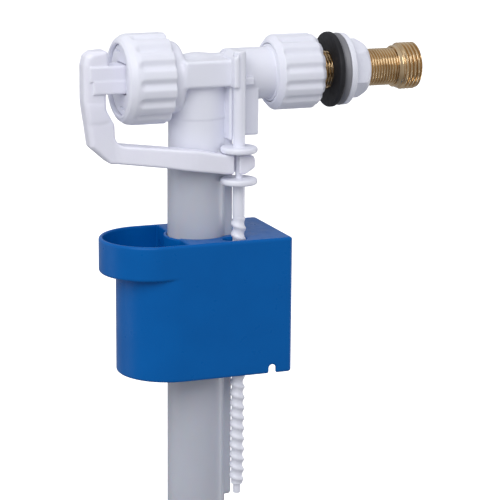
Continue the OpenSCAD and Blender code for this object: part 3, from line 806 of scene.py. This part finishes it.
def inlet_tail(box):
    """Brass shank with a G3/8 thread and a flange inside the coupling nut."""
    pitch = INCH / 19
    root = SHANK_CREST_R - WHITWORTH_DEPTH * pitch
    bore, flange_r, flange_end = 5.6, 12.3, 51.7
    profile = [(bore, box.x0), (flange_r, box.x0), (flange_r, flange_end)]
    profile += [(root, flange_end), (root, box.x1), (bore, box.x1)]
    thread = threaded(flange_end + 0.7, box.x1, pitch, root, SHANK_CREST_R)
    return spun(split_runs(profile, pitch / 9), 72, thread)


def thread_adapter(box):
    """Brass bush, threaded G1/2 outside, on the shank's end."""
    pitch = INCH / 14
    crest = MOUNTS["inlet_thread"]["dims"]["r_mm"]
    root = crest - WHITWORTH_DEPTH * pitch
    outlet, step = 6.0, 100.1
    profile = filleted(  # (radius, x, corner radius)
        [
            (SHANK_HOLE_R, step, 0),
            (SHANK_HOLE_R, box.x0, 0),
            (SHANK_HOLE_R + 0.75, box.x0, 0.25),
            (crest - 0.35, box.x0 + 1.2, 0.3),
            (crest - 0.35, box.x0 + 1.9, 0),
            (root, box.x0 + 2.3, 0),
            (root, box.x1 - 0.5, 0),
            (root - 0.45, box.x1, 0),
            (outlet + 0.4, box.x1, 0),
            (outlet, box.x1 - 0.4, 0),
            (outlet, step, 0),
        ],
        3,
    )
    thread = threaded(box.x0 + 1.6, box.x1 + 0.3, pitch, root, crest)
    return spun(split_runs(profile, pitch / 12), RING_COLUMNS, thread)


def rubber_washer(box):
    """Wall seal: a flat ring, more rounded on the side of the coupling nut."""
    hole, outer = 8.48, box.y1
    corners = [(hole, box.x0, 0.2), (outer, box.x0, 0.8), (outer, box.x1, 0.6), (hole, box.x1, 0.2)]
    return spun(split_runs(filleted(corners), RING_RUN), RING_COLUMNS)


def plastic_washer(box):
    """Slip washer: a ring that tapers towards the wall seal."""
    hole, outer = 8.53, box.y1
    profile = filleted(  # (radius, x, corner radius)
        [
            (hole, box.x0, 0.1),
            (outer - 1.8, box.x0, 0.1),
            (outer - 1.5, box.x0 + 0.5, 0.4),
            (outer, box.x0 + 2.6, 0.8),
            (outer, box.x1, 0.4),
            (hole, box.x1, 0.1),
        ]
    )
    return spun(split_runs(profile, RING_RUN), RING_COLUMNS)


def backnut(box):
    """Hexagon nut with a flange and a chamfered outer end."""
    flat, flange_h = 11.5, 2.8
    chamfer_slope, chamfer_in = 0.8, 0.5
    turns = [math.radians(angle) for angle in (9, 69, 129)]  # the flats, from -Y towards +Z

    def field(x, y, z):
        sides = [np.abs(z * math.sin(turn) - y * math.cos(turn)) for turn in turns]
        hexagon = np.maximum(np.maximum(sides[0], sides[1]), sides[2])
        solid = extruded(hexagon - flat, x, box.x0 + 1, box.x1, edge=0.3)
        cone = (np.hypot(y, z) + (x - box.x1) * chamfer_slope - flat + chamfer_in) * 0.78
        solid = common(solid, cone, edge=0.3)
        flange = rod(y, z, x, box.y1, box.x0, box.x0 + flange_h, edge=0.6)
        solid = joined(solid, flange, fillet=0.8)
        return without(solid, rod(y, z, x, SHANK_HOLE_R, 0, 200, edge=0.1), edge=0.5)

    return surface_net(field, box, 0.4)


# Each row: piece, its shape, body, CAD node, material slot, finish, crease angle in degrees
PIECES = (
    ("moulded_body", valve_body, "valve", "valve_body", "white_plastic", WHITE, 60),
    ("cap_nut_ribbed", cap_nut, "cap", "cap_nut", "white_plastic", WHITE, 35),
    ("coupling_nut_ribbed", coupling_nut, "coupling", "coupling_nut", "white_plastic", WHITE, 35),
    ("bonnet_insert", bonnet, "valve", "bonnet", "white_plastic", WHITE, 35),
    ("lever_arm", lever, "lever", "lever", "lever_plastic", LEVER_WHITE, 60),
    ("riser_pipe", riser_tube, "valve", "riser_tube", "tube_plastic", TUBE_WHITE_WITH_PAINTED_SHADE, 60),
    ("float_bell", float_shell, "float", "float_shell", "blue_plastic", BLUE, 60),
    ("screw_stem", adjusting_screw, "screw", "adjusting_screw", "white_plastic", WHITE, 35),
    ("brass_shank", inlet_tail, "valve", "inlet_tail", "brass", BRASS, 50),
    ("brass_adapter", thread_adapter, "valve", "thread_adapter", "brass", BRASS, 50),
    ("wall_seal", rubber_washer, "valve", "rubber_washer", "black_rubber", RUBBER, 35),
    ("slip_washer", plastic_washer, "valve", "plastic_washer", "grey_plastic", GREY, 35),
    ("hex_backnut", backnut, "nut", "backnut", "white_plastic", WHITE, 35),
)

# Inner and small pieces keep their CAD shape and get their finish
CAD_FINISHES = {
    "pivot_pin": STEEL,
    "pilot_pad": RUBBER,
    "diaphragm": RUBBER,
    "diaphragm_insert": ACETAL,
    "inlet_nozzle": ACETAL,
    "nozzle_o_ring": RUBBER,
    "flow_restrictor": GREEN,
    "riser_o_ring": RUBBER,
    "screw_plate": WHITE,
    "inlet_gasket": RUBBER,
    "inlet_filter": ACETAL,
    "adapter_seal": FIBRE,
}


def build_pieces():
    for row in PIECES:
        add_piece(*row)
    for node, material in CAD_FINISHES.items():
        mesh = frame["nodes"][node].data
        mesh.materials.clear()
        mesh.materials.append(material)


# ---------------------------------------------------------------- floor, light and camera


def build_stage():
    """A plain pale floor, which the object neither mirrors nor gets bounce light from."""
    floor_z = cad_low.z - 0.5 * MM
    half = 6.0
    mesh = bpy.data.meshes.new("floor")
    corners = [(-half, -half), (half, -half), (half, half), (-half, half)]
    mesh.from_pydata([(x, y, floor_z) for x, y in corners], [], [(0, 1, 2, 3)])
    floor = linked("floor", mesh)
    finish = Finish("floor", (0.9, 0.9, 0.9), 0.9)
    finish.inputs["Emission Color"].default_value = (1, 1, 1, 1)
    finish.inputs["Emission Strength"].default_value = 0.8
    mesh.materials.append(finish.material)
    floor.visible_diffuse = False
    floor.visible_glossy = False


def area_light(name, place, target, size, watts):
    """A rectangular lamp that faces its target."""
    light = bpy.data.lights.new(name, "AREA")
    light.shape = "RECTANGLE"
    light.size, light.size_y = size
    light.energy = watts
    lamp = linked(name, light)
    lamp.location = place
    lamp.rotation_euler = (target - place).to_track_quat("-Z", "Y").to_euler()


def build_lights():
    """Soft light from all round, stronger from above, and three lamps."""
    world = bpy.data.worlds.new("studio")
    bpy.context.scene.world = world
    world.use_nodes = True
    nodes, links = world.node_tree.nodes, world.node_tree.links
    where = nodes.new("ShaderNodeTexCoord").outputs["Generated"]
    parts = nodes.new("ShaderNodeSeparateXYZ")
    links.new(where, parts.inputs["Vector"])
    ramp = nodes.new("ShaderNodeMapRange")
    ramp.inputs["From Min"].default_value = -1.0
    ramp.inputs["To Min"].default_value = 0.3
    ramp.inputs["To Max"].default_value = 0.68
    links.new(parts.outputs["Z"], ramp.inputs["Value"])
    background = nodes["Background"]
    background.inputs["Color"].default_value = (0.94, 0.95, 1.0, 1)
    links.new(ramp.outputs["Result"], background.inputs["Strength"])
    middle = (cad_low + cad_high) / 2
    riser_middle = middle - Vector((0, 0, 0.08))
    for name, offset, target, size, watts in (
        ("key", (-0.42, -0.52, 0.6), middle, (0.7, 0.6), 3.9),
        ("left", (-1.0, 0.4, 0.1), middle, (0.5, 1.1), 1.1),
        ("right", (0.45, 0.0, -0.15), riser_middle, (0.2, 0.4), 0.8),
    ):
        area_light(name, middle + Vector(offset), target, size, watts)


def build_camera():
    """A long lens, looking a little down and from the left, as the picture was taken."""
    aim = Vector(ORIGIN) + Vector((15.7, -24.6, -73.4)) * MM
    azimuth, elevation, roll = map(math.radians, (21.5, 13.16, -0.47))
    distance = 0.9477
    level = math.cos(elevation)
    forward = Vector((math.sin(azimuth) * level, math.cos(azimuth) * level, -math.sin(elevation)))
    side = Vector((math.cos(azimuth), -math.sin(azimuth), 0))
    down = forward.cross(side)
    right = side * math.cos(roll) + down * math.sin(roll)
    up = side * math.sin(roll) - down * math.cos(roll)
    lens = bpy.data.cameras.new("camera")
    lens.lens = 157.3
    lens.sensor_width = 36
    lens.clip_start, lens.clip_end = 0.05, 30
    camera = linked("camera", lens)
    turn = Matrix((right, up, -forward)).transposed().to_4x4()
    camera.matrix_world = Matrix.Translation(aim - forward * distance) @ turn
    bpy.context.scene.camera = camera


build_camera()
build_stage()
build_lights()
build_pieces()
bpy.context.scene.view_settings.view_transform = "Standard"
